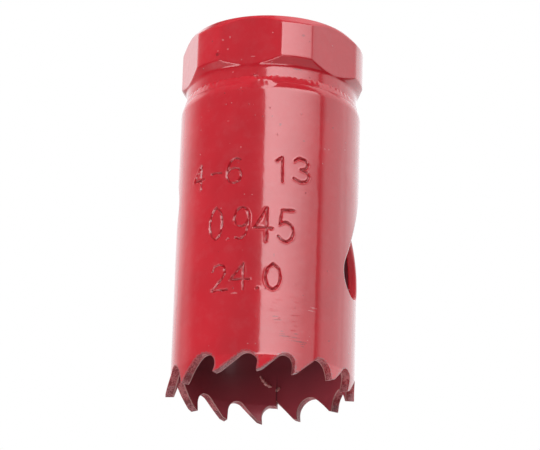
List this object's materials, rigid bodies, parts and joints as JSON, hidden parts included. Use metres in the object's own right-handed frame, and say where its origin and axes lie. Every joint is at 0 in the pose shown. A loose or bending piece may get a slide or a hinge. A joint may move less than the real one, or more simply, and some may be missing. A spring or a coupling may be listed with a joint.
{
  "type": "hole saw",
  "caption": "Cylindrical hole saw with a variable-pitch toothed rim, slanted side slots and a flatted cap with a threaded bore.",
  "frame": {"origin": "on the saw's axis, in the plane of the tooth tips that it stands on", "axes": "+Z along the axis from the tooth tips to the threaded cap; -Y is the marked side, between the two slots"},
  "size_m": [0.0235, 0.024, 0.0468],
  "materials": {
    "red_lacquer": "gloss",
    "tip_steel": "ground"
  },
  "bodies": {
    "root": {"saw_band": "red_lacquer", "hard_steel_tips": "tip_steel", "backing_cap": "red_lacquer", "weld_bead": "red_lacquer"}
  },
  "joints": []
}
